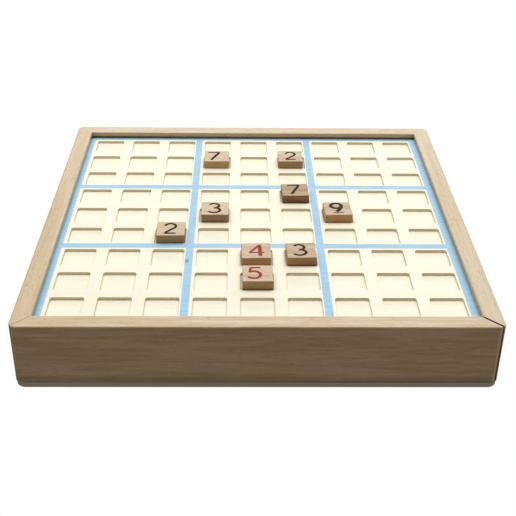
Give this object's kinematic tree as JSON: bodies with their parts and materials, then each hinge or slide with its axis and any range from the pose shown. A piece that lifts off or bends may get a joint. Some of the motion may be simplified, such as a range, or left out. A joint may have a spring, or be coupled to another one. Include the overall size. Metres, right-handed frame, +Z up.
{
  "type": "sudoku board",
  "caption": "Square wooden sudoku board: a milled play panel in a mitred frame, with loose number tiles and a drawer under the board that stores them.",
  "frame": {"origin": "middle of the underside", "axes": "+X to the right, +Y away from the drawer front, +Z up"},
  "size_m": [0.24, 0.24, 0.0371],
  "materials": {
    "beech": "sanded and matt lacquered",
    "plywood": "sanded",
    "basswood": "sanded, with printed lines",
    "tile_beech": "sanded, with printed numbers"
  },
  "bodies": {
    "box": {"left_rail": "beech", "right_rail": "beech", "rear_rail": "beech", "base_panel": "plywood", "play_panel": "basswood"},
    "drawer": {"drawer_front": "beech", "drawer_side_left": "plywood", "drawer_side_right": "plywood", "drawer_back": "plywood", "drawer_bottom": "plywood", "spare_tiles_1": "tile_beech", "spare_tiles_2": "tile_beech", "spare_tiles_3": "tile_beech", "spare_tiles_4": "tile_beech", "spare_tiles_5": "tile_beech", "spare_tiles_6": "tile_beech", "spare_tiles_7": "tile_beech", "spare_tiles_8": "tile_beech", "spare_tiles_9": "tile_beech"},
    "tile_7_rear": {"tile_7_rear": "tile_beech"},
    "tile_2_rear": {"tile_2_rear": "tile_beech"},
    "tile_7_middle": {"tile_7_middle": "tile_beech"},
    "tile_3_left": {"tile_3_left": "tile_beech"},
    "tile_9_right": {"tile_9_right": "tile_beech"},
    "tile_2_left": {"tile_2_left": "tile_beech"},
    "tile_4_front": {"tile_4_front": "tile_beech"},
    "tile_3_right": {"tile_3_right": "tile_beech"},
    "tile_5_front": {"tile_5_front": "tile_beech"}
  },
  "joints": [
    {"name": "drawer_slide", "type": "slide", "parent": "box", "child": "drawer", "axis": [0, -1, 0], "range_m": [0, 0.2]},
    {"name": "tile_7_rear_lift", "type": "slide", "parent": "box", "child": "tile_7_rear", "axis": [0, 0, 1], "range_m": [0, 0.03]},
    {"name": "tile_2_rear_lift", "type": "slide", "parent": "box", "child": "tile_2_rear", "axis": [0, 0, 1], "range_m": [0, 0.03]},
    {"name": "tile_7_middle_lift", "type": "slide", "parent": "box", "child": "tile_7_middle", "axis": [0, 0, 1], "range_m": [0, 0.03]},
    {"name": "tile_3_left_lift", "type": "slide", "parent": "box", "child": "tile_3_left", "axis": [0, 0, 1], "range_m": [0, 0.03]},
    {"name": "tile_9_right_lift", "type": "slide", "parent": "box", "child": "tile_9_right", "axis": [0, 0, 1], "range_m": [0, 0.03]},
    {"name": "tile_2_left_lift", "type": "slide", "parent": "box", "child": "tile_2_left", "axis": [0, 0, 1], "range_m": [0, 0.03]},
    {"name": "tile_4_front_lift", "type": "slide", "parent": "box", "child": "tile_4_front", "axis": [0, 0, 1], "range_m": [0, 0.03]},
    {"name": "tile_3_right_lift", "type": "slide", "parent": "box", "child": "tile_3_right", "axis": [0, 0, 1], "range_m": [0, 0.03]},
    {"name": "tile_5_front_lift", "type": "slide", "parent": "box", "child": "tile_5_front", "axis": [0, 0, 1], "range_m": [0, 0.03]}
  ]
}
